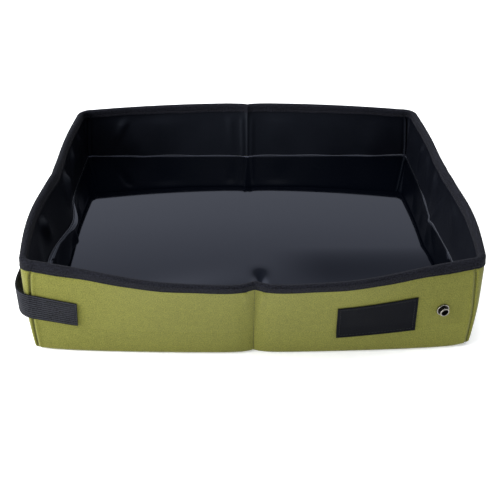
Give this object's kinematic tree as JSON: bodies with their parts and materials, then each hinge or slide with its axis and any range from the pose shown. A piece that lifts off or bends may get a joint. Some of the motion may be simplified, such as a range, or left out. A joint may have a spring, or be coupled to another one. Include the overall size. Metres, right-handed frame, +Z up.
{
  "type": "portable folding litter box",
  "caption": "Open soft-sided litter tray on padded base halves that fold together at a middle crease, with inward folding walls, a bound rim and a snap strap.",
  "frame": {"origin": "on the ground under the middle crease, halfway between the front and the back wall", "axes": "+X to the right along the front wall, +Y from the front wall to the back wall, +Z up"},
  "size_m": [0.4174, 0.3833, 0.093],
  "materials": {
    "outer_fabric": "olive green woven polyester, matte",
    "lining_fabric": "black coated fabric, slight sheen",
    "floor_film": "black film-coated fabric, glossy",
    "binding_tape": "charcoal woven tape, matte",
    "webbing": "charcoal ribbed webbing, matte",
    "patch_fabric": "near-black fabric, matte",
    "stiffener": "plain plastic board, hidden",
    "foam": "light foam, hidden",
    "snap_metal": "nickel-plated, bright"
  },
  "bodies": {
    "base_right": {"base_cover_right": "outer_fabric", "base_board_right": "stiffener", "base_pad_right": "foam", "floor_lining_right": "floor_film", "right_side_outer": "outer_fabric", "right_side_pad_front": "foam", "right_side_pad_back": "foam", "right_side_lining": "lining_fabric", "right_side_binding": "binding_tape"},
    "base_left": {"base_cover_left": "outer_fabric", "base_board_left": "stiffener", "base_pad_left": "foam", "floor_lining_left": "floor_film", "left_side_outer": "outer_fabric", "left_side_pad_front": "foam", "left_side_pad_back": "foam", "left_side_lining": "lining_fabric", "left_side_binding": "binding_tape"},
    "front_right_wall": {"front_right_outer": "outer_fabric", "front_right_board": "stiffener", "front_right_lining": "lining_fabric", "front_right_binding": "binding_tape", "patch": "patch_fabric", "snap_stud": "snap_metal", "snap_stud_washer": "snap_metal"},
    "front_left_wall": {"front_left_outer": "outer_fabric", "front_left_board": "stiffener", "front_left_lining": "lining_fabric", "front_left_binding": "binding_tape", "strap_sewn_end": "webbing"},
    "back_right_wall": {"back_right_outer": "outer_fabric", "back_right_board": "stiffener", "back_right_lining": "lining_fabric", "back_right_binding": "binding_tape"},
    "back_left_wall": {"back_left_outer": "outer_fabric", "back_left_board": "stiffener", "back_left_lining": "lining_fabric", "back_left_binding": "binding_tape"},
    "strap_end": {"strap_free_end": "webbing", "snap_socket": "snap_metal", "snap_cap": "snap_metal"}
  },
  "joints": [
    {"name": "half_fold", "type": "hinge", "parent": "base_right", "child": "base_left", "pos_m": [0, 0, 0], "axis": [0, -1, 0], "range_deg": [0, 178], "deforming": ["right_side_outer", "right_side_pad_front", "right_side_pad_back", "right_side_lining", "right_side_binding", "left_side_outer", "left_side_pad_front", "left_side_pad_back", "left_side_lining", "left_side_binding"]},
    {"name": "front_right_wall_fold", "type": "hinge", "parent": "base_right", "child": "front_right_wall", "pos_m": [0, -0.1606, 0.0346], "axis": [-1, 0, 0], "range_deg": [0, 89]},
    {"name": "front_left_wall_fold", "type": "hinge", "parent": "base_left", "child": "front_left_wall", "pos_m": [0, -0.1606, 0.0346], "axis": [-1, 0, 0], "range_deg": [0, 89]},
    {"name": "back_right_wall_fold", "type": "hinge", "parent": "base_right", "child": "back_right_wall", "pos_m": [0, 0.1606, 0.0346], "axis": [1, 0, 0], "range_deg": [0, 89]},
    {"name": "back_left_wall_fold", "type": "hinge", "parent": "base_left", "child": "back_left_wall", "pos_m": [0, 0.1606, 0.0346], "axis": [1, 0, 0], "range_deg": [0, 89]},
    {"name": "strap_swing", "type": "hinge", "parent": "front_left_wall", "child": "strap_end", "pos_m": [-0.1943, -0.1682, 0], "axis": [0, 0, 1], "range_deg": [0, 180]}
  ],
  "couplings": [
    {"joint": "front_right_wall_fold", "follows": "half_fold", "ratio": 0.5},
    {"joint": "front_left_wall_fold", "follows": "half_fold", "ratio": 0.5},
    {"joint": "back_right_wall_fold", "follows": "half_fold", "ratio": 0.5},
    {"joint": "back_left_wall_fold", "follows": "half_fold", "ratio": 0.5}
  ]
}
